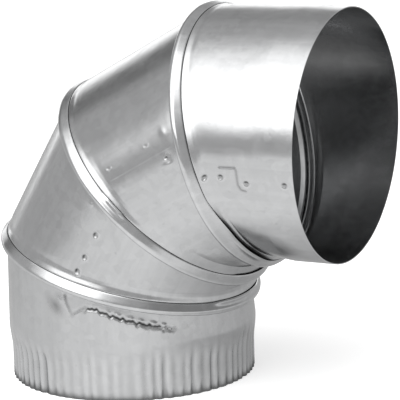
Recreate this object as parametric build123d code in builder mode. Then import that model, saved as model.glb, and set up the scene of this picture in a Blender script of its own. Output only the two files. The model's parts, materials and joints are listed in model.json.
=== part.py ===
from build123d import *
import os
from math import acos, cos, degrees, hypot, radians, sin, tan

os.makedirs("parts", exist_ok=True)

# Adjustable elbow for 6 inch round flue pipe. Four gores of galvanised sheet snap into each
# other at three beaded seams. Every seam turns, so the elbow can be set to any bend from
# straight to a right angle. It is drawn at the full right angle.
#
# Frame: the origin is the centre of the crimped end's rim, +Z runs up that end's axis, and
# the plain end opens toward +X. The XZ plane is the plane of symmetry.

# ---- driving dimensions, in millimetres and degrees ----
nominal_bore = 152.4  # inside diameter of the plain end
sheet = 0.5  # thickness of the sheet
lean = 15.0  # every gore is cut this far off square where it meets a seam
clearance = 0.6  # running gap between the two sheets nested in a seam

# lengths along each gore's axis, from its rim or seam to the next seam or rim
crimped_gore_length = 67.0
lower_gore_length = 45.0
upper_gore_length = 48.0
plain_gore_length = 58.0
plain_straight = 25.0  # true cylinder behind the plain end's rim
crimped_straight = 34.0  # height at which the crimped gore stops being round
oval_margin = 2.0  # the end gores are fully oval from this far short of their seam's circle

# crimping, which narrows the end so that it enters the next pipe
crimp_count = 72
crimp_crest_radius = 75.2
crimp_depth = 1.7
crimp_floor_width = 1.0
crimp_mouth_width = 3.4
crimp_full_height = 24.0  # the grooves keep their full depth up to here
crimp_end_height = 32.0  # the shoulder ends here
crimp_overrun = 0.4  # the grooves' floor rises this far past the body by the shoulder's end

# seams: "along" is measured on the seam's axis from the end of the gore below it
joint_radius = 77.5  # outside of both gores where they meet the seam
neck_length = 14.3  # from the end of the gore below to the start of the gore above
bead_start = 0.8
bead_width = 4.4
bead_radius = 82.0  # outside of the outer bead's crest
bead_corner = 1.9
groove_radius = 79.6  # outside of the outer sheet, just above its bead
lip_start = 6.8
lip_radius = 80.4
lip_end = 7.8  # raw edge of the outer sheet
tuck_start = 0.4  # raw edge of the inner sheet, inside the gore below
neck_taper_start = 8.6
neck_taper_end = 12.0

# ---- worked out from the above ----
body_radius = nominal_bore / 2 + sheet
nesting = sheet + clearance  # from the outer sheet's outside to the inner sheet's outside
tuck_radius = joint_radius - nesting
bead_end = bead_start + bead_width
inner_groove_radius = groove_radius - nesting
crimp_slope = (crimp_mouth_width - crimp_floor_width) / 2 / crimp_depth
seam_rise = joint_radius * sin(radians(lean))  # a seam's leaning circle rises and falls by this
tube_reach = 2 * seam_rise + 60.0  # enough to run a wall right through the far end of its gore
oval_from_rim = seam_rise + oval_margin  # from a seam's centre back to the end gore's oval

# outside of each sheet through a seam, as (along, radius), and the bend radius at each corner
outer_skin = [
    (0, joint_radius),
    (bead_start, joint_radius),
    (bead_start, bead_radius),
    (bead_end, bead_radius),
    (bead_end, groove_radius),
    (lip_start - sheet, groove_radius),
    (lip_start, lip_radius),
    (lip_end, lip_radius),
]
outer_bends = [0.5, bead_corner, bead_corner, 0.45, 0.3, 0.7]
inner_skin = [
    (tuck_start, tuck_radius),
    (bead_start + nesting, tuck_radius),
    (bead_start + nesting, bead_radius - nesting),
    (bead_end - nesting, bead_radius - nesting),
    (bead_end - nesting, inner_groove_radius),
    (neck_taper_start, inner_groove_radius),
    (neck_taper_end, joint_radius),
    (neck_length, joint_radius),
]
inner_bends = [0.5, bead_corner - nesting, bead_corner - nesting, 1.2, 6.0, 6.0]


def leaning(angle):
    """Direction that leans by an angle from +Z toward +X."""
    return Vector(0, 0, 1).rotate(Axis.Y, angle)


def square_to(point, angle):
    """Plane through a point, square to a leaning direction."""
    return Plane(point, x_dir=leaning(angle + 90), z_dir=leaning(angle))


def oval_tube(circle_plane, direction, end_plane):
    """Sheet tube that runs along a gore's axis from the circle of a seam, which leans. So its
    square section is an oval. It is cut off at a plane whose normal points out of its end."""
    with BuildPart() as wall:
        for inset, mode in ((0, Mode.ADD), (sheet, Mode.SUBTRACT)):
            with BuildSketch(circle_plane):
                Circle(joint_radius - inset)
            extrude(amount=tube_reach, dir=direction, mode=mode)
        split(bisect_by=end_plane, keep=Keep.BOTTOM)
    return wall.part


def round_to_oval(round_plane, oval_plane):
    """Sheet tube from a circle of the body's size to the oval that a seam's lean makes, whose
    short axis is the planes' x direction."""
    with BuildPart() as wall:
        for inset, mode in ((0, Mode.ADD), (sheet, Mode.SUBTRACT)):
            with BuildSketch(round_plane):
                Circle(body_radius - inset)
            with BuildSketch(oval_plane):
                Ellipse((joint_radius - inset) * cos(radians(lean)), joint_radius - inset)
            loft(ruled=True, mode=mode)
    return wall.part


def bent(skin, bends, inset):
    """Outside (inset 0) or inside (inset one sheet) of a sheet bent to a profile, as edges in
    (along, radius), from the outside's corners and the outside's bend radius at each."""
    corners = [Vector(*point) for point in skin]
    ways = [(b - a).normalized() for a, b in zip(corners, corners[1:])]
    inward = [Vector(way.Y, -way.X) for way in ways]  # to the inside of the sheet
    start = corners[0] + inward[0] * inset
    edges = []
    for corner, bend, way, side, onward in zip(corners[1:], bends, ways, inward, ways[1:]):
        turn = 1 if side.dot(onward) < 0 else -1  # 1 where the sheet turns away from the axis
        swept = acos(way.dot(onward))
        centre = corner - way * bend * tan(swept / 2) - side * bend * turn
        spoke = side * (bend * turn + inset)
        arc = [centre + spoke.rotate(Axis.Z, turn * degrees(swept) * k / 2) for k in range(3)]
        edges += [Edge.make_line(start, arc[0]), Edge.make_three_point_arc(*arc)]
        start = arc[2]
    edges.append(Edge.make_line(start, corners[-1] + inward[-1] * inset))
    return edges


def collar(seam, angle, skin, bends):
    """Ring of bent sheet about a seam's axis, from the sheet's outside as (along, radius)."""
    axis = Axis(seam, leaning(angle))
    outer, inner = bent(skin, bends, 0), bent(skin, bends, sheet)
    with BuildPart() as ring:
        with BuildSketch(Plane(seam, x_dir=axis.direction, z_dir=(0, -1, 0))):
            with BuildLine():
                add([*outer, *inner])
                add(Edge.make_line(outer[0] @ 0, inner[0] @ 0))
                add(Edge.make_line(outer[-1] @ 1, inner[-1] @ 1))
            make_face()
        revolve(axis=axis)
    return ring.part


def crimp_groove(inset):
    """One groove of the crimping, on the sheet's outside (inset 0) or a sheet further in."""
    floor_radius = crimp_crest_radius - crimp_depth - inset
    half_floor = crimp_floor_width / 2 + inset * (hypot(1, crimp_slope) - crimp_slope)
    reach = crimp_depth + 1.1
    half_mouth = half_floor + reach * crimp_slope
    sections = (
        (-1, floor_radius),
        (crimp_full_height, floor_radius),
        (crimp_end_height, body_radius - inset + crimp_overrun),
    )
    with BuildPart() as groove:
        for height, floor in sections:
            with BuildSketch(Plane.XY.offset(height)):
                with BuildLine():
                    Polyline(
                        (floor, -half_floor),
                        (floor + reach, -half_mouth),
                        (floor + reach, half_mouth),
                        (floor, half_floor),
                        close=True,
                    )
                make_face()
        loft(ruled=True)
    return groove.part


def crimped_core(inset):
    """Everything within the crimped end's outside (inset 0) or inside (inset one sheet)."""
    groove = crimp_groove(inset)
    crest = crimp_crest_radius - inset
    body = body_radius - inset
    with BuildPart() as core:
        with BuildSketch(Plane.XZ):
            with BuildLine():
                Polyline(
                    (0, 0),
                    (crest, 0),
                    (crest, crimp_full_height),
                    (body, crimp_end_height),
                    (body, crimped_straight),
                    (0, crimped_straight),
                    close=True,
                )
            make_face()
        revolve(axis=Axis.Z)
        with PolarLocations(0, crimp_count):
            add(groove, mode=Mode.SUBTRACT)
    return core.part


# ---- where the seams and rims are ----
low_seam = Vector(0, 0, crimped_gore_length)
lower_gore_start = low_seam + leaning(lean) * neck_length
middle_seam = lower_gore_start + leaning(2 * lean) * lower_gore_length
upper_gore_start = middle_seam + leaning(3 * lean) * neck_length
top_seam = upper_gore_start + leaning(4 * lean) * upper_gore_length
plain_gore_start = top_seam + leaning(5 * lean) * neck_length
plain_rim = plain_gore_start + leaning(6 * lean) * plain_gore_length

low_seam_plane = square_to(low_seam, lean)
lower_gore_plane = square_to(lower_gore_start, lean)
middle_seam_plane = square_to(middle_seam, 3 * lean)
upper_gore_plane = square_to(upper_gore_start, 3 * lean)
top_seam_plane = square_to(top_seam, 5 * lean)
plain_gore_plane = square_to(plain_gore_start, 5 * lean)
plain_rim_plane = square_to(plain_rim, 6 * lean)

# ---- crimped end gore: goes into the next pipe, and carries the low seam's outer bead ----
outside = crimped_core(0)
inside = crimped_core(sheet)
round_end = Plane.XY.offset(crimped_straight)
oval_end = Plane.XY.offset(crimped_gore_length - oval_from_rim)
with BuildPart() as crimped_end_gore:
    add(outside)
    add(inside, mode=Mode.SUBTRACT)
    add(round_to_oval(round_end, oval_end))
    add(oval_tube(low_seam_plane, leaning(180), -oval_end))
    add(collar(low_seam, lean, outer_skin, outer_bends))
crimped_end_gore.part.label = "crimped_end_gore"
export_step(crimped_end_gore.part, "parts/crimped_end_gore.step")

# ---- lower middle gore: turns in the low seam, and carries the middle seam's outer bead ----
with BuildPart() as lower_middle_gore:
    add(oval_tube(lower_gore_plane, leaning(2 * lean), middle_seam_plane))
    add(collar(low_seam, lean, inner_skin, inner_bends))
    add(collar(middle_seam, 3 * lean, outer_skin, outer_bends))
lower_middle_gore.part.label = "lower_middle_gore"
export_step(lower_middle_gore.part, "parts/lower_middle_gore.step")

# ---- upper middle gore: turns in the middle seam, and carries the top seam's outer bead ----
with BuildPart() as upper_middle_gore:
    add(oval_tube(upper_gore_plane, leaning(4 * lean), top_seam_plane))
    add(collar(middle_seam, 3 * lean, inner_skin, inner_bends))
    add(collar(top_seam, 5 * lean, outer_skin, outer_bends))
upper_middle_gore.part.label = "upper_middle_gore"
export_step(upper_middle_gore.part, "parts/upper_middle_gore.step")

# ---- plain end gore: turns in the top seam, and the next pipe's crimped end enters it ----
round_end = plain_rim_plane.offset(-plain_straight)
oval_end = plain_rim_plane.offset(oval_from_rim - plain_gore_length)
with BuildPart() as plain_end_gore:
    with BuildSketch(plain_rim_plane):
        Circle(body_radius)
        Circle(body_radius - sheet, mode=Mode.SUBTRACT)
    extrude(amount=-plain_straight)
    add(round_to_oval(round_end, oval_end))
    add(oval_tube(plain_gore_plane, leaning(6 * lean), oval_end))
    add(collar(top_seam, 5 * lean, inner_skin, inner_bends))
plain_end_gore.part.label = "plain_end_gore"
export_step(plain_end_gore.part, "parts/plain_end_gore.step")
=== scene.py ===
import json
import math

import bpy
import numpy as np
from mathutils import Matrix


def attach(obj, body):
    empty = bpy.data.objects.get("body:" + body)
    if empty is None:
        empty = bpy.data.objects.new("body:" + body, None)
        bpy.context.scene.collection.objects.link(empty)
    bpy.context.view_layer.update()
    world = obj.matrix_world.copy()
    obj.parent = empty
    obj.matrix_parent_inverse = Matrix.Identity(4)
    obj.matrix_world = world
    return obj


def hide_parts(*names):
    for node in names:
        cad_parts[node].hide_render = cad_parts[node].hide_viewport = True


# Adjustable flue elbow in galvanised sheet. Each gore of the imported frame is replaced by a
# sheet mesh with its crimps, lap seam, clinch dimples, dents and uneven beads. Lengths are in
# millimetres until the meshes are made. Angles round a gore are in degrees: 0 is the throat
# (the inside of the bend), -90 the side toward the camera, and 180 the heel.

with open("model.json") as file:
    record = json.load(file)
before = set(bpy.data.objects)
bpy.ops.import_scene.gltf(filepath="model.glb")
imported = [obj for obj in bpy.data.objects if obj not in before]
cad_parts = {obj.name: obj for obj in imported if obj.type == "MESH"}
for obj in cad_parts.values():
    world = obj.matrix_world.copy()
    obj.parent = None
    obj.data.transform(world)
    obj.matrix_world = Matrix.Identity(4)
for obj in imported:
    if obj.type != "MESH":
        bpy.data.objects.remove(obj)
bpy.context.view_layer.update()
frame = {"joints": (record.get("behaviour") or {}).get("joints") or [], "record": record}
joints = {j["name"]: j for j in frame["joints"]}
mounts = {m["name"]: m for m in frame["record"]["mounts"]}

MM = 0.001
SHEET = 0.5  # thickness
NECK = 14.3  # from a seam to where the wall of the gore above it starts, along the seam's axis
JOINT_R = 77.5  # outside of a wall where it meets a seam
BODY_R = 76.7  # outside of the wall at the elbow's two ends
CRIMPED_STRAIGHT = 34.0  # length of the round part at the crimped end
PLAIN_STRAIGHT = 25.0  # and at the plain end
MIDDLE_R = 77.0  # radius at which angles round a wall are turned into lengths
ARC = math.radians(1) * MIDDLE_R

# crimps, with heights from the cut edge
CRIMPS = 72
CREST_R = 75.2
CRIMP_DEPTH = 1.05
NARROW_UP_TO = 16.0
CRIMP_END = 33.0
FADE_LENGTH = 13.0

# steps between a mesh's columns, in degrees: anywhere, beside a lap, and beside the slit
COLUMN_STEP = 0.8
LAP_STEP = 0.3
SLIT_STEP = 0.25

# relief of rolled sheet, which grows over a margin beside the seams
LONG_WAVE = 0.035
SHORT_WAVE = 0.006
OUTER_RIPPLE = 0.12
INNER_RIPPLE = 0.08
SEAM_MARGIN = 4.0

# outside of each sheet through a seam, as (along the seam's axis, radius), and bend radii
OUTER_SKIN = [(0, 77.5), (0.8, 77.5), (0.9, 81.8), (3.6, 82.0), (7.7, 79.5), (8.05, 79.05)]
OUTER_BENDS = [0.5, 1.9, 3.4, 0.4]
INNER_SKIN = [(0.0, 75.4), (2.1, 76.8), (2.3, 80.9), (4.1, 80.9), (4.1, 78.4), (6.9, 78.4),
              (7.7, 78.5), (8.45, 78.95), (11.5, 77.95), (14.3, 77.5)]
INNER_BENDS = [0.5, 0.8, 0.8, 1.0, 1.0, 0.4, 0.6, 9.0]


# ---------------------------------------------------------------- small helpers
def smooth(x, lo, hi):
    """Smooth step from 0 at lo to 1 at hi."""
    t = np.clip((x - lo) / (hi - lo), 0.0, 1.0)
    return t * t * (3 - 2 * t)


def turn(a, b):
    """Signed difference of two angles in degrees, -180 to 180."""
    return (a - b + 180.0) % 360.0 - 180.0


def bell(x, width):
    """Bell of height 1, which is 0.37 a width away from its middle."""
    return np.exp(-((x / width) ** 2))


def window(theta, start, end, soft):
    """1 between two angles, falling to 0 over a soft edge outside them."""
    middle, half = (start + end) / 2, (end - start) / 2
    return 1 - smooth(np.abs(turn(theta, middle)), half, half + soft)


class Waves:
    """Repeatable smooth noise: sine waves over an angle in degrees and a length in mm."""

    def __init__(self, seed, count, shortest, longest):
        draw = np.random.default_rng(seed)
        self.terms = []
        for _ in range(count):
            wavelength = draw.uniform(shortest, longest)
            heading = draw.uniform(0, 2 * math.pi)
            lobes = round(2 * math.pi * MIDDLE_R / wavelength * math.cos(heading))
            rate = 2 * math.pi / wavelength * math.sin(heading)
            self.terms.append((lobes, rate, draw.uniform(0, 2 * math.pi)))

    def __call__(self, theta, along):
        total = 0.0
        for lobes, rate, phase in self.terms:
            total = total + np.sin(np.radians(theta) * lobes + along * rate + phase)
        return total / math.sqrt(len(self.terms) / 2)


def lean(angle):
    """Direction that leans by an angle from +Z toward +X."""
    a = math.radians(angle)
    return np.array([math.sin(a), 0.0, math.cos(a)])


def ring(centre, angle, radius, theta):
    """Circle of points square to a leaning direction, one for each angle of theta."""
    t = np.radians(theta)[:, None]
    return centre + radius * (np.cos(t) * lean(angle + 90) + np.sin(t) * np.array([0.0, 1.0, 0.0]))


def rounded(corners, bends, step=1.0, arc_step=0.42, shortest=0.02):
    """Polyline through corners with filleted bends, as (along, radius), in short steps. A bend
    may use up nearly all of the first leg, and half of any other."""
    pts = [np.array(c, float) for c in corners]
    out = [pts[0]]
    for i, bend in enumerate(bends, 1):
        a, b = pts[i - 1] - pts[i], pts[i + 1] - pts[i]
        la, lb = np.linalg.norm(a), np.linalg.norm(b)
        a, b = a / la, b / lb
        inside = math.acos(np.clip(a @ b, -1, 1))
        reach = min(bend / math.tan(inside / 2), la * (0.98 if i == 1 else 0.5), lb * 0.5)
        radius = reach * math.tan(inside / 2)
        middle = (a + b) / np.linalg.norm(a + b)
        centre = pts[i] + middle * radius / math.sin(inside / 2)
        u, v = pts[i] + a * reach - centre, pts[i] + b * reach - centre
        swept = math.pi - inside
        count = max(2, round(swept * max(radius, 0.5) / arc_step))
        for f in np.linspace(0, 1, count + 1):
            arc = math.sin((1 - f) * swept) * u + math.sin(f * swept) * v
            out.append(centre + arc / math.sin(swept))
    out.append(pts[-1])
    dense = [out[0]]
    for p in out[1:]:
        start = dense[-1]
        gap = np.linalg.norm(p - start)
        if gap > shortest:
            pieces = math.ceil(gap / step)
            dense += [start + (p - start) * k / pieces for k in range(1, pieces + 1)]
    return np.array(dense)


def columns(step, fine=()):
    """Angles round a gore: an even step, with finer steps in each (centre, half width, step)."""
    marks = list(np.arange(-180, 180, step))
    for centre, half, finer in fine:
        marks = [m for m in marks if abs(turn(m, centre)) > half + 0.5 * step]
        marks += list(np.arange(centre - half, centre + half + 1e-6, finer))
    return np.array(sorted(turn(m, 0.0) for m in marks))


# ---------------------------------------------------------------- where the gores are
class Seam:
    """A swivel's axis, read from the frame, with where the gore below ends and the next starts."""

    def __init__(self, joint):
        axis = joint["axis"]
        self.angle = math.degrees(math.atan2(axis[0], axis[2]))
        self.axis = lean(self.angle)
        self.start = np.array(joint["pos_m"]) / MM
        self.end = self.start + self.axis * NECK


LOW = Seam(joints["low_seam_swivel"])
MIDDLE = Seam(joints["middle_seam_swivel"])
TOP = Seam(joints["top_seam_swivel"])
FOOT = np.array(mounts["crimped_end"]["pos_m"]) / MM
RIM = np.array(mounts["plain_end"]["pos_m"]) / MM
outer_profile = rounded(OUTER_SKIN, OUTER_BENDS)
inner_profile = rounded(INNER_SKIN, INNER_BENDS)
long_waves = Waves(11, 14, 30, 80)
short_waves = Waves(23, 18, 9, 22)


class Gore:
    """Outside of one gore as a grid of points, built row by row up its axis."""

    def __init__(self, name, body, origin, angle, theta, below=None, above=None):
        self.name, self.body_name, self.origin, self.angle = name, body, origin, angle
        self.theta, self.below, self.above = theta, below, above
        self.rows, self.kinds, self.stations = [], [], []

    def add(self, points, kind, station):
        """One more row. Its station is how far along its collar or wall it is."""
        self.rows.append(points)
        self.kinds.append(kind)
        self.stations.append(station)

    def collar(self, seam, profile, kind):
        """Rows through a seam, as rings square to the seam's axis."""
        for s, r in profile:
            self.add(ring(seam.start + seam.axis * s, seam.angle, r, self.theta), kind, s)

    def wall(self, first, last, shares, kind="body"):
        """Ruled rows from one ring to another, at the given shares of the way."""
        for share in shares:
            self.add(first * (1 - share) + last * share, kind, share)

    def wall_to(self, last, count):
        """Ruled rows from the newest ring, which isn't repeated, to another."""
        self.wall(self.rows[-1], last, np.linspace(0, 1, count)[1:])

    def settle(self):
        """Works out normals, angles, distances and masks once every row is in. The open mask
        also has the part of the inner collar that shows, and the clear mask keeps off seams."""
        self.points = np.array(self.rows)
        across = np.roll(self.points, -1, 1) - np.roll(self.points, 1, 1)
        up = np.empty_like(self.points)
        up[1:-1] = self.points[2:] - self.points[:-2]
        up[0], up[-1] = self.points[1] - self.points[0], self.points[-1] - self.points[-2]
        normals = np.cross(across, up)
        self.normals = normals / np.linalg.norm(normals, axis=2)[..., None]
        self.along = (self.points - self.origin) @ lean(self.angle)
        self.around = np.broadcast_to(self.theta, self.along.shape)
        self.station = np.array(self.stations)[:, None] * np.ones(self.along.shape)
        self.is_outer, self.is_inner, self.is_crimp = (
            np.array([k == kind for k in self.kinds])[:, None] * np.ones(self.along.shape)
            for kind in ("outer", "inner", "crimp"))
        self.is_wall = 1 - self.is_outer - self.is_inner
        self.open = np.clip(self.is_wall + self.is_inner * smooth(self.station, 9.0, 10.5), 0, 1)
        self.clear = self.is_wall
        if self.below:
            over = (self.points - self.below.end) @ self.below.axis
            self.clear = self.clear * smooth(over, 0.0, SEAM_MARGIN)
        if self.above:
            self.under = (self.above.start - self.points) @ self.above.axis
            self.clear = self.clear * smooth(self.under, 0.0, SEAM_MARGIN)

    def roughen(self, seed):
        """Starts the relief with the waves of rolled sheet. Outer collars only move out and inner
        collars only move in, so that the seams stay clear of each other as they turn. Painted
        shade, partly real soiling, darkens the foot of an outer bead and the inside of the seam,
        and a painted highlight, partly wear, lightens a bead's crest."""
        waves = LONG_WAVE * long_waves(self.around + 40 * seed, self.along)
        waves = waves + SHORT_WAVE * short_waves(self.around + 70 * seed, self.along)
        t, s = np.radians(self.around), self.station
        ripple = 0.5 + 0.5 * np.sin(23 * t + seed) * np.sin(7 * t + 2 * seed)
        self.relief = (waves * self.clear
                       + OUTER_RIPPLE * ripple * self.is_outer * smooth(s, 0.2, 2.0)
                       - INNER_RIPPLE * ripple * self.is_inner * (1 - smooth(s, 12.0, 14.0)))
        # painted shade, partly real soiling, at the foot of an outer bead and inside the seam;
        # painted highlight, partly wear, on the bead's crest
        self.painted_shade_and_dirt = (self.is_outer * 0.5 * bell(s - 0.7, 0.5)
                      + self.is_inner * 0.4 * (1 - smooth(s, 7.2, 8.0)))
        self.wear_and_highlight = self.is_outer * bell(s - 2.8, 1.2)

    def offset(self, at, along):
        """How far each point is from a place on the wall: round it, and along the gore."""
        return turn(self.around, at) * ARC, self.along - along

    def away(self, path):
        """Distance from a path of (angle, distance along the gore) points."""
        nearest = np.inf
        for (a0, s0), (a1, s1) in zip(path, path[1:]):
            x, y = self.offset(a0, s0)
            dx, dy = turn(a1, a0) * ARC, s1 - s0
            share = np.clip((x * dx + y * dy) / (dx * dx + dy * dy), 0, 1)
            nearest = np.minimum(nearest, np.hypot(x - share * dx, y - share * dy))
        return nearest

    def crease(self, path, width, depth, shade_and_dirt):
        """Line scored or folded into the wall, darkened along it with painted shade, partly real
        soiling.
        """
        line = bell(self.away(path), width) * self.open
        self.relief = self.relief - depth * line
        # painted shade, partly real soiling, along the line
        self.painted_shade_and_dirt = self.painted_shade_and_dirt + shade_and_dirt * line

    def dimple(self, at, along, size=4.0, depth=0.5, shade_and_dirt=0.8):
        """Clinch: a small round pocket pressed in, or raised where depth is negative, with a burr
        round the side that faces the throat. The burr has a painted highlight, and the pocket has
        painted shade, partly real soiling, most on the side away from the throat."""
        x, y = self.offset(at, along)
        away = np.hypot(x, y) / (size / 2)
        lower = 0.5 + 0.5 * np.tanh(1.5 * x)
        pocket = 1 - smooth(away, 0.2, 1.0)
        burr = bell(away - 1.2, 0.3) * lower
        self.relief = self.relief + (0.2 * burr - depth * pocket) * self.open
        # painted shade, partly real soiling, in the pocket, darkest on the side away from the
        # throat
        self.painted_shade_and_dirt = self.painted_shade_and_dirt + shade_and_dirt * (1 - smooth(away, 0.6, 1.2)) * (1.25 - lower) * self.open
        # painted highlight on the burr
        self.wear_and_highlight = self.wear_and_highlight + burr * self.open

    def dent(self, at, along, wide, tall, depth, tilt=0.0, shade_and_dirt=0.0):
        """Smooth shallow dent, or a bulge where depth is negative, darkened over its shape by the
        given amount.
        """
        x, y = self.offset(at, along)
        c, s = math.cos(math.radians(tilt)), math.sin(math.radians(tilt))
        shape = np.exp(-((x * c + y * s) / wide) ** 2 - ((y * c - x * s) / tall) ** 2)
        self.relief = self.relief - depth * shape * self.clear
        # the dent's colour is darkened over its shape by the given amount
        self.painted_shade_and_dirt = self.painted_shade_and_dirt + shade_and_dirt * shape * self.clear

    def lap(self, centre, slit, rise=0.22, half=5.6, edge=0.2, fade=14.0):
        """Overlap of the sheet's two edges, each a low step at the given half width from the
        lap's middle, whose rise fades out past the other edge. Below the slit one edge is on
        top, above it the other, and a slanting cut crosses the lap between them."""
        x = turn(self.around, centre)
        below = smooth(x, -half - fade, -half) * (1 - smooth(x, half - edge, half + edge))
        above = smooth(x, -half - edge, -half + edge) * (1 - smooth(x, half, half + fade))
        side = smooth(self.along - slit + x * 0.3, -0.4, 0.4)
        self.relief = self.relief + rise * (below * (1 - side) + above * side) * self.clear

    def lift_lip(self, start, end, soft, lift, reach=0.0):
        """Outer sheet's raw edge stands off the sheet inside it, over part of the way round, and
        may reach further along the seam there."""
        where = window(self.around, start, end, soft) * self.is_outer
        further = reach * where * smooth(self.station, 4.0, 8.0)
        self.points = self.points + self.above.axis * further[..., None]
        self.relief = self.relief + lift * where * smooth(self.station, 5.6, 7.9)


# ---------------------------------------------------------------- meshes
SHARP_ANGLE = 42  # degrees, above which an edge is shaded sharp


def sheet_mesh(gore, keep, tones):
    """Closed sheet: the relieved outside, the inside one thickness in, with only the rows in
    keep, and the cut edges. Tones are attributes by name, as values outside and inside."""
    outer = gore.points + gore.normals * gore.relief[..., None]
    inner = (gore.points + gore.normals * (gore.relief - SHEET)[..., None])[keep]
    rows, cols = outer.shape[:2]
    base = rows * cols
    j = np.arange(cols)
    after = (j + 1) % cols

    def band(first, second):
        return np.stack([first + j, first + after, second + after, second + j], 1)

    faces = [band(i * cols, (i + 1) * cols) for i in range(rows - 1)]
    faces += [band(base + i * cols, base + (i + 1) * cols)[:, ::-1] for i in range(len(keep) - 1)]
    faces.append(band(base, 0))
    faces.append(band((rows - 1) * cols, base + (len(keep) - 1) * cols))
    faces = np.concatenate(faces).astype(np.int32)
    verts = np.concatenate([outer.reshape(-1, 3), inner.reshape(-1, 3)]) * MM
    mesh = bpy.data.meshes.new(gore.name)
    mesh.vertices.add(len(verts))
    mesh.vertices.foreach_set("co", verts.astype(np.float32).ravel())
    mesh.loops.add(faces.size)
    mesh.loops.foreach_set("vertex_index", faces.ravel())
    mesh.polygons.add(len(faces))
    mesh.polygons.foreach_set("loop_start", np.arange(0, faces.size, 4, dtype=np.int32))
    mesh.update(calc_edges=True)
    mesh.shade_smooth()
    mesh.set_sharp_from_angle(angle=math.radians(SHARP_ANGLE))
    t = np.radians(gore.around)
    drum = np.stack([np.cos(t) * MIDDLE_R, np.sin(t) * MIDDLE_R, gore.along], -1)
    place = np.concatenate([drum.reshape(-1, 3), drum[keep].reshape(-1, 3)]) * MM
    rolled = mesh.attributes.new("rolled", "FLOAT_VECTOR", "POINT")
    rolled.data.foreach_set("vector", place.astype(np.float32).ravel())
    for label, (outside, inside) in tones.items():
        values = np.concatenate([outside.ravel(), inside[keep].ravel()])
        attribute = mesh.attributes.new(label, "FLOAT", "POINT")
        attribute.data.foreach_set("value", values.astype(np.float32))
    return mesh


def finish_gore(gore, cad_node):
    """Makes the gore's mesh, paints it and hangs it on its body in place of its CAD node. The
    inside has every second row, and is duller, with painted shade, in the folds of the outer
    collar."""
    last = len(gore.kinds) - 1
    keep = np.array(sorted({*range(0, last, 2), last}))
    # painted shade on the inside of the outer collar's folds
    tones = {"painted_shade_and_dirt": (np.clip(gore.painted_shade_and_dirt, 0, 1), 0.7 * gore.is_outer),
             "wear_and_highlight": (np.clip(gore.wear_and_highlight, 0, 1), np.zeros(gore.station.shape))}
    mesh = sheet_mesh(gore, keep, tones)
    mesh.materials.append(zinc)
    obj = bpy.data.objects.new(gore.name, mesh)
    bpy.context.scene.collection.objects.link(obj)
    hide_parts(cad_node)
    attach(obj, gore.body_name)


# ---------------------------------------------------------------- node graphs
class Graph:
    """Short ways to add nodes to a material or world."""

    def __init__(self, tree):
        self.tree = tree
        tree.nodes.clear()

    def node(self, kind, inputs=None, **settings):
        made = self.tree.nodes.new(kind)
        for name, value in settings.items():
            setattr(made, name, value)
        for name, value in (inputs or {}).items():
            if isinstance(value, bpy.types.NodeSocket):
                self.tree.links.new(value, made.inputs[name])
            else:
                made.inputs[name].default_value = value
        return made

    def calc(self, operation, *values):
        node = self.node("ShaderNodeMath", dict(enumerate(values)), operation=operation)
        return node.outputs[0]

    def total(self, first, *others):
        for other in others:
            first = self.calc("ADD", first, other)
        return first

    def product(self, first, *others):
        for other in others:
            first = self.calc("MULTIPLY", first, other)
        return first

    def vector(self, operation, *values):
        """Vector maths, with a vector as its result."""
        node = self.node("ShaderNodeVectorMath", dict(enumerate(values)), operation=operation)
        return node.outputs["Vector"]

    def measure(self, operation, *values):
        """Vector maths, with a number as its result."""
        node = self.node("ShaderNodeVectorMath", dict(enumerate(values)), operation=operation)
        return node.outputs["Value"]

    def ranged(self, source, low, high, to_low, to_high, kind="LINEAR"):
        """Value that goes from to_low to to_high as the source goes from low to high."""
        values = {0: source, 1: low, 2: high, 3: to_low, 4: to_high}
        node = self.node("ShaderNodeMapRange", values, interpolation_type=kind)
        return node.outputs[0]

    def step(self, source, low, high, lowest=0.0):
        """Smooth step from lowest at low to 1 at high, which may be the smaller."""
        return self.ranged(source, low, high, lowest, 1.0, "SMOOTHSTEP")

    def noise(self, vector, scale, detail, **more):
        inputs = {"Vector": vector, "Scale": scale, "Detail": detail, **more}
        return self.node("ShaderNodeTexNoise", inputs).outputs

    def attribute(self, name, output):
        return self.node("ShaderNodeAttribute", attribute_name=name).outputs[output]


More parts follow.
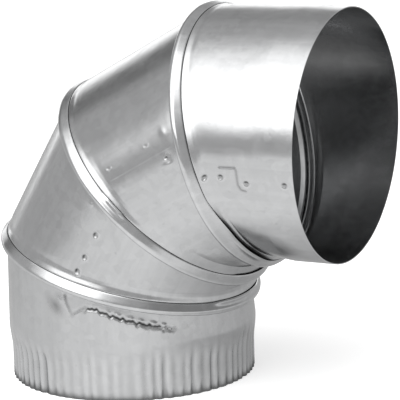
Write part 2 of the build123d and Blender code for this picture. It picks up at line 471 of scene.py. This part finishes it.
def galvanised(name):
    """Galvanised sheet: faint spangle, rolling streaks and handling smudges, with a painted
    highlight, partly wear, on crests, and painted shade, partly real soiling, with duller zinc in
    the folds."""
    material = bpy.data.materials.new(name)
    material.use_nodes = True
    g = Graph(material.node_tree)
    shader = g.node("ShaderNodeBsdfPrincipled", {"Metallic": 1.0})
    g.node("ShaderNodeOutputMaterial", {"Surface": shader.outputs[0]})
    place = g.node("ShaderNodeTexCoord").outputs["Object"]
    rolled = g.attribute("rolled", "Vector")
    painted_shade_and_dirt = g.attribute("painted_shade_and_dirt", "Fac")
    wear_and_highlight = g.attribute("wear_and_highlight", "Fac")

    wander = g.noise(place, 120.0, 3.0)["Color"]
    warped = g.vector("MULTIPLY_ADD", wander, (0.006,) * 3, place)
    spangle = g.node("ShaderNodeTexVoronoi", {"Vector": warped, "Scale": 210.0})
    crystal = g.node("ShaderNodeSeparateColor", {0: spangle.outputs["Color"]}).outputs
    stretched = g.node("ShaderNodeMapping", {"Vector": rolled, "Scale": (1.0, 1.0, 0.05)})
    streaks = g.noise(stretched.outputs[0], 260.0, 4.0)["Fac"]
    clouds = g.noise(place, 24.0, 5.0, Roughness=0.6)["Fac"]
    specks = g.noise(place, 420.0, 2.0)["Fac"]

    value = g.total(
        g.ranged(clouds, 0.3, 0.7, -0.018, 0.018),
        g.ranged(crystal[0], 0.0, 1.0, -0.02, 0.02),
        g.ranged(streaks, 0.3, 0.7, -0.018, 0.018),
        g.ranged(specks, 0.68, 0.78, 0.0, -0.06),
        # painted highlight, partly wear, lightens the colour, and painted shade, partly real
        # soiling, darkens it
        g.ranged(wear_and_highlight, 0.0, 1.0, 0.0, 0.06),
        g.ranged(painted_shade_and_dirt, 0.0, 1.0, 0.0, -0.30),
        g.ranged(painted_shade_and_dirt, 0.6, 1.0, 0.0, -0.21),
        0.585)
    shades = [g.product(value, tint) for tint in (0.992, 1.0, 1.01)]
    colour = g.node("ShaderNodeCombineColor", dict(enumerate(shades))).outputs[0]
    g.tree.links.new(colour, shader.inputs["Base Color"])

    smudges = g.noise(place, 50.0, 6.0, Distortion=1.5)["Fac"]
    roughness = g.total(
        g.ranged(smudges, 0.42, 0.72, 0.0, 0.05),
        g.ranged(crystal[1], 0.0, 1.0, -0.02, 0.02),
        g.ranged(painted_shade_and_dirt, 0.0, 1.0, 0.0, 0.25),
        g.ranged(wear_and_highlight, 0.0, 1.0, 0.0, -0.05),
        0.20)
    g.tree.links.new(roughness, shader.inputs["Roughness"])

    grain = g.noise(place, 900.0, 4.0)["Fac"]
    height = g.total(
        g.product(grain, 0.25),
        g.product(crystal[2], 0.3),
        g.product(streaks, 0.35))
    bump = g.node("ShaderNodeBump", {"Strength": 0.14, "Distance": 0.0002, "Height": height})
    g.tree.links.new(bump.outputs[0], shader.inputs["Normal"])
    return material


zinc = galvanised("galvanised_sheet")

# ---------------------------------------------------------------- crimped end gore
COLUMNS_PER_CRIMP = 10
gore = Gore("crimped_end_gore_sheet", "crimped_end", FOOT, 0.0,
            columns(360 / CRIMPS / COLUMNS_PER_CRIMP), above=LOW)
foot = ring(FOOT, 0.0, BODY_R, gore.theta)
straight_end = ring(FOOT + lean(0) * CRIMPED_STRAIGHT, 0.0, BODY_R, gore.theta)
heights = [0, 0.6, 2, 5, 9, 13, 16, 18.5, 20.5, 22, 23.5, 25, 26.5, 28, 29.5, 31, 32.5]
gore.wall(foot, straight_end, [z / CRIMPED_STRAIGHT for z in heights], "crimp")
seam_shares = [*np.linspace(0, 0.6, 8), *np.linspace(0.6, 1, 30)[1:]]  # closer near the seam
gore.wall(straight_end, ring(LOW.start, LOW.angle, JOINT_R, gore.theta), seam_shares)
gore.collar(LOW, outer_profile[1:], "outer")
gore.settle()
gore.roughen(0)

# crimps: shallow on the side toward the camera, with uneven ends, depths and spacing
t = np.radians(gore.around)
ends = CRIMP_END + 2.2 * np.sin(17 * t + 1.0) * np.cos(5 * t)
fading = 1 - smooth(gore.along, ends - FADE_LENGTH, ends)
strength = (1 + 0.25 * np.sin(13 * t + 0.7) + 0.25 * np.sin(29 * t)) * fading
worn = strength * (1 - 0.72 * window(gore.around, -98, -62, 12))
wander = 0.5 * np.sin(9 * t + 0.4) + 0.45 * np.sin(23 * t + 2.0)
flute = (0.5 - 0.5 * np.cos(CRIMPS * t + wander)) ** 1.3
narrowing = (BODY_R - CREST_R) * (1 - smooth(gore.along, NARROW_UP_TO, CRIMP_END))
cut_edge = 1 - smooth(gore.along, 0, 2.0)
gore.relief = gore.relief - (narrowing + CRIMP_DEPTH * flute * worn) * gore.is_crimp
# painted shade, partly real soiling, in the crimps' troughs, and darker toward the cut edge
gore.painted_shade_and_dirt = gore.painted_shade_and_dirt + (0.3 * flute ** 2 * worn + 0.15 * cut_edge) * gore.is_crimp
# painted highlight, partly wear, on the crimps' crests
gore.wear_and_highlight = gore.wear_and_highlight + (1 - flute) ** 2 * strength * gore.is_crimp

# Under the seam the wall draws in above a line, given as angles and depths under the seam. Part
# of the line is scored and ragged, with painted shade in it, and small beads of puckered metal
# along its top carry painted highlights.
LINE_ANGLES = [-91, -79, -72, -60, -40, -20]
LINE_DEPTHS = [12.5, 4.2, 5.6, 6.6, 8.0, 8.5]
DRAWN_IN = 0.11  # for each mm above the line
SCORE_DEPTH = 0.8
PUCKER_HEIGHT = 0.5
above_line = np.interp(gore.around, LINE_ANGLES, LINE_DEPTHS) - gore.under
near_seam = smooth(gore.under, -0.1, 0.4) * gore.is_wall
left_edge = smooth(gore.around - gore.under * 0.25, -94.4, -93.2)
spread = left_edge * (1 - smooth(gore.around, -62, -25)) * near_seam
puckered = window(gore.around, -80, -44, 5) * near_seam
ragged = 0.45 * np.sin(90 * t) + 0.3 * np.sin(151 * t)
score = bell(above_line + 0.7 + ragged, 1.0) * puckered
beads = (0.5 + 0.5 * np.cos(70 * t + math.radians(30) * np.sin(31 * t))) ** 3
beads = beads * window(gore.around, -68, -46, 6) * puckered
gore.relief = gore.relief - DRAWN_IN * np.clip(above_line, 0, 12) * spread - SCORE_DEPTH * score
gore.relief = gore.relief + PUCKER_HEIGHT * bell(above_line - 1.3, 0.9) * beads
# painted shade in the scored line, and painted highlights on the puckered beads
gore.painted_shade_and_dirt = gore.painted_shade_and_dirt + 1.25 * score
gore.wear_and_highlight = gore.wear_and_highlight + 0.8 * bell(above_line - 1.3, 0.7) * beads
# creases below the seam carry painted shade, partly real soiling, and the dents are darkened by
# the given amounts
gore.crease([(-93.0, 65.5), (-92.1, 61.0), (-89.6, 53.6), (-82.5, 59.0)],
            width=0.9, depth=0.35, shade_and_dirt=0.45)
gore.dent(-98.6, 58.2, wide=3.6, tall=6.6, depth=0.6, tilt=50, shade_and_dirt=0.7)
gore.dent(-95.5, 61.5, wide=1.6, tall=3.6, depth=-0.45, tilt=30)
gore.dent(-95, 66, wide=5, tall=3, depth=0.25, shade_and_dirt=0.3)
gore.crease([(-54, 42), (-53, 47)], width=0.5, depth=0.1, shade_and_dirt=0.25)
gore.lift_lip(-16, 12, soft=10, lift=1.0)
finish_gore(gore, "crimped_end_gore")

# ---------------------------------------------------------------- lower middle gore
gore = Gore("lower_middle_gore_sheet", "lower_middle", LOW.end, 30.0,
            columns(COLUMN_STEP, [(-88.5, 9.0, LAP_STEP)]), below=LOW, above=MIDDLE)
gore.collar(LOW, inner_profile, "inner")
gore.wall_to(ring(MIDDLE.start, MIDDLE.angle, JOINT_R, gore.theta), count=62)
gore.collar(MIDDLE, outer_profile[1:], "outer")
gore.settle()
gore.roughen(1)
gore.lap(-88.5, slit=60.0)
for at, along in ((-88.5, 28.5), (-88.4, 12.1), (-88.6, 1.5)):
    gore.dimple(at, along)
gore.dent(-83, 38.5, wide=2.2, tall=8.0, depth=0.25, tilt=28, shade_and_dirt=0.12)
gore.lift_lip(-91, -84, soft=5, lift=0.9)
gore.lift_lip(-14, 10, soft=8, lift=1.2)
gore.dimple(-97.2, 43.2, size=2.0, depth=-0.3, shade_and_dirt=0.0)
finish_gore(gore, "lower_middle_gore")

# ---------------------------------------------------------------- upper middle gore
gore = Gore("upper_middle_gore_sheet", "upper_middle", MIDDLE.end, 60.0,
            columns(COLUMN_STEP, [(-101.0, 9.0, LAP_STEP)]), below=MIDDLE, above=TOP)
gore.collar(MIDDLE, inner_profile, "inner")
gore.wall_to(ring(TOP.start, TOP.angle, JOINT_R, gore.theta), count=64)
gore.collar(TOP, outer_profile[1:], "outer")
gore.settle()
gore.roughen(2)
gore.lap(-103.0, slit=math.inf, rise=0.06)  # no slit crosses this lap
for at, along in ((-103.0, 1.5), (-103.5, 31.0)):
    gore.dimple(at, along, size=2.4, depth=0.12, shade_and_dirt=0.15)
gore.dimple(-94.0, 40.6, size=2.6, depth=0.6)
gore.dent(-91, 39.8, wide=1.0, tall=2.6, depth=-0.7)
gore.dent(-105, 45.5, wide=3.0, tall=1.8, depth=-0.25)
gore.dent(-95, 42.5, wide=2.0, tall=1.8, depth=0.3, shade_and_dirt=0.4)
gore.lift_lip(-50, -30, soft=26, lift=1.4, reach=3.0)
finish_gore(gore, "upper_middle_gore")

# ---------------------------------------------------------------- plain end gore
gore = Gore("plain_end_gore_sheet", "plain_end", TOP.end, 90.0,
            columns(COLUMN_STEP, [(-80.0, 10.0, SLIT_STEP)]), below=TOP)
gore.collar(TOP, inner_profile, "inner")
gore.wall_to(ring(RIM - lean(90) * PLAIN_STRAIGHT, 90.0, BODY_R, gore.theta), count=44)
gore.wall_to(ring(RIM, 90.0, BODY_R, gore.theta), count=34)
gore.settle()
gore.roughen(3)
gore.lap(-80.0, slit=21.5, rise=0.04)
slit_path = [(-85.6, 11.6), (-85.8, 21.2), (-84.4, 22.0), (-77.8, 22.3), (-75.4, 23.8),
             (-74.9, 26.8)]
# the slit's line carries painted shade, partly real soiling, for its edge shadow
gore.crease(slit_path, width=0.75, depth=0.3, shade_and_dirt=0.7)
for at, along in ((-80.5, 1.5), (-80.9, 11.8), (-78.7, 27.8), (-79.2, 52.2)):
    gore.dimple(at, along)
# painted shade on the plain end's neck behind the upper middle gore's lifted lip
shade_behind_lip = window(gore.around, -50, -30, 20) * (1 - smooth(gore.station, 11.8, 12.6))
gore.painted_shade_and_dirt = gore.painted_shade_and_dirt + shade_behind_lip * gore.is_inner
finish_gore(gore, "plain_end_gore")

# ---------------------------------------------------------------- camera
AIM = np.array([90.0, 0.0, 120.0])
AZIMUTH, ELEVATION, ROLL = 27.389, 13.211, -1.987
SHIFT_LEFT, SHIFT_DOWN, DISTANCE = 35.219, 5.996, 1874.75
LENS, SENSOR = 279.21, 36.0
azimuth, elevation, roll = (math.radians(v) for v in (AZIMUTH, ELEVATION, ROLL))
back = np.array([math.sin(azimuth) * math.cos(elevation),
                 -math.cos(azimuth) * math.cos(elevation),
                 math.sin(elevation)])
level = np.array([math.cos(azimuth), math.sin(azimuth), 0.0])
upright = np.cross(back, level)
right = level * math.cos(roll) + upright * math.sin(roll)
up = upright * math.cos(roll) - level * math.sin(roll)
stand = AIM - right * SHIFT_LEFT - up * SHIFT_DOWN + back * DISTANCE
camera = bpy.data.objects.new("camera", bpy.data.cameras.new("camera"))
camera.data.lens = LENS
camera.data.sensor_width = SENSOR
camera.data.clip_start = 0.05
camera.data.clip_end = 50.0
pose = Matrix.Identity(4)
for column, vector in enumerate((right, up, back, stand * MM)):
    for row in range(3):
        pose[row][column] = vector[row]
bpy.context.scene.collection.objects.link(camera)
camera.matrix_world = pose
bpy.context.scene.camera = camera


# ---------------------------------------------------------------- studio
ROOM_LIGHT = 0.5
FLOOR_HALF = 6.0


def toward(azimuth, elevation=0.0):
    """Direction given by its angles in degrees, from +X and up from level."""
    a, e = math.radians(azimuth), math.radians(elevation)
    return math.cos(a) * math.cos(e), math.sin(a) * math.cos(e), math.sin(e)


def studio_world():
    """Soft studio: a grey room with a big softbox to the front left, a brighter ceiling toward
    the front, a bright sweep behind the object, and a dark corner on the plain end's side. Two
    dim patches lie high behind the object."""
    world = bpy.data.worlds.new("studio")
    world.use_nodes = True
    g = Graph(world.node_tree)
    way = g.node("ShaderNodeTexCoord").outputs["Generated"]
    height = g.node("ShaderNodeSeparateXYZ", {0: way}).outputs[2]

    def facing(*angles):
        return g.measure("DOT_PRODUCT", way, toward(*angles))

    def climbing(low, high):
        """0 at one elevation and 1 at another, which may be the lower."""
        return g.step(height, math.sin(math.radians(low)), math.sin(math.radians(high)))

    def cone(angles, outer, inner):
        """1 within the inner angle of a direction, and 0 outside the outer one."""
        return g.step(facing(*angles), math.cos(math.radians(outer)),
                      math.cos(math.radians(inner)))

    sideways = facing(160.0)
    softbox = g.product(climbing(7, 15), g.step(sideways, 0.62, 0.16),
                        g.step(sideways, -0.55, -0.35), g.step(facing(-110.0), -0.25, 0.25))
    sweep = g.product(cone((118.0,), 40, 30), climbing(22, 10))
    ceiling = g.product(climbing(24, 45), g.step(facing(-60.0), -0.15, 0.25))
    corner = cone((8.0, 12.0), 62, 28)
    high_behind = cone((121.0, 30.0), 20, 6)
    high_left = cone((152.0, 24.0), 24, 8)
    levels = ((high_behind, -0.14), (softbox, 1.6), (sweep, 1.0), (corner, -0.22),
              (high_left, -0.28), (ceiling, 0.3))
    light = g.total(ROOM_LIGHT, *(g.product(part, level) for part, level in levels))
    colour = g.node("ShaderNodeCombineColor", {0: light, 1: light, 2: light}).outputs[0]
    background = g.node("ShaderNodeBackground", {"Color": colour, "Strength": 1.0})
    g.node("ShaderNodeOutputWorld", {"Surface": background.outputs[0]})
    return world


def white_paper():
    """White paper. In the metal's reflections it is an emission with painted shade: darker toward
    the back, with painted shadows under the elbow and round the foot, and dimmer past its front
    edge. Lengths here are in metres."""
    material = bpy.data.materials.new("paper")
    material.use_nodes = True
    g = Graph(material.node_tree)
    white = g.node("ShaderNodeBsdfPrincipled", {
        "Base Color": (0.85, 0.85, 0.85, 1), "Roughness": 0.9, "Specular IOR Level": 0.0,
        "Emission Color": (1, 1, 1, 1), "Emission Strength": 0.55})
    place = g.node("ShaderNodeNewGeometry").outputs["Position"]
    heading = g.vector("NORMALIZE", g.vector("SUBTRACT", place, (0.05, 0.0, 0.0)))
    # in reflections the paper's emission is painted darker toward the back
    painted_glow = g.total(g.product(g.measure("DOT_PRODUCT", heading, toward(-75.0)), 0.27), 0.74)
    # painted shadow under the plain end
    from_under_plain_end = g.measure("DISTANCE", place, (0.17, 0.0, 0.0))
    painted_glow = g.product(painted_glow, g.step(from_under_plain_end, 0.04, 0.20, lowest=0.62))
    y = g.node("ShaderNodeSeparateXYZ", {0: place}).outputs[1]
    past_edge = 0.45
    above_that = g.calc("SUBTRACT", painted_glow, past_edge)
    painted_glow = g.total(g.product(g.step(y, -1.2, -0.95), above_that), past_edge)
    # painted shadow round the foot
    from_foot = g.measure("DISTANCE", place, (0.0, 0.0, 0.0))
    painted_glow = g.product(painted_glow, g.step(from_foot, 0.076, 0.09, lowest=0.25))
    # painted reflection: glossy rays see the paper as this emission
    painted_floor_reflection = g.node("ShaderNodeEmission", {"Strength": painted_glow})
    reflected = g.node("ShaderNodeLightPath").outputs["Is Glossy Ray"]
    both = g.node("ShaderNodeMixShader", {0: reflected, 1: white.outputs[0],
                                          2: painted_floor_reflection.outputs[0]})
    g.node("ShaderNodeOutputMaterial", {"Surface": both.outputs[0]})
    return material


bpy.context.scene.world = studio_world()
bpy.context.scene.view_settings.view_transform = "Standard"

floor_mesh = bpy.data.meshes.new("floor")
corners = ((-1, -1), (1, -1), (1, 1), (-1, 1))
floor_mesh.from_pydata([(x * FLOOR_HALF, y * FLOOR_HALF, 0) for x, y in corners],
                       [], [(0, 1, 2, 3)])
floor_mesh.materials.append(white_paper())
floor = bpy.data.objects.new("floor", floor_mesh)
bpy.context.scene.collection.objects.link(floor)
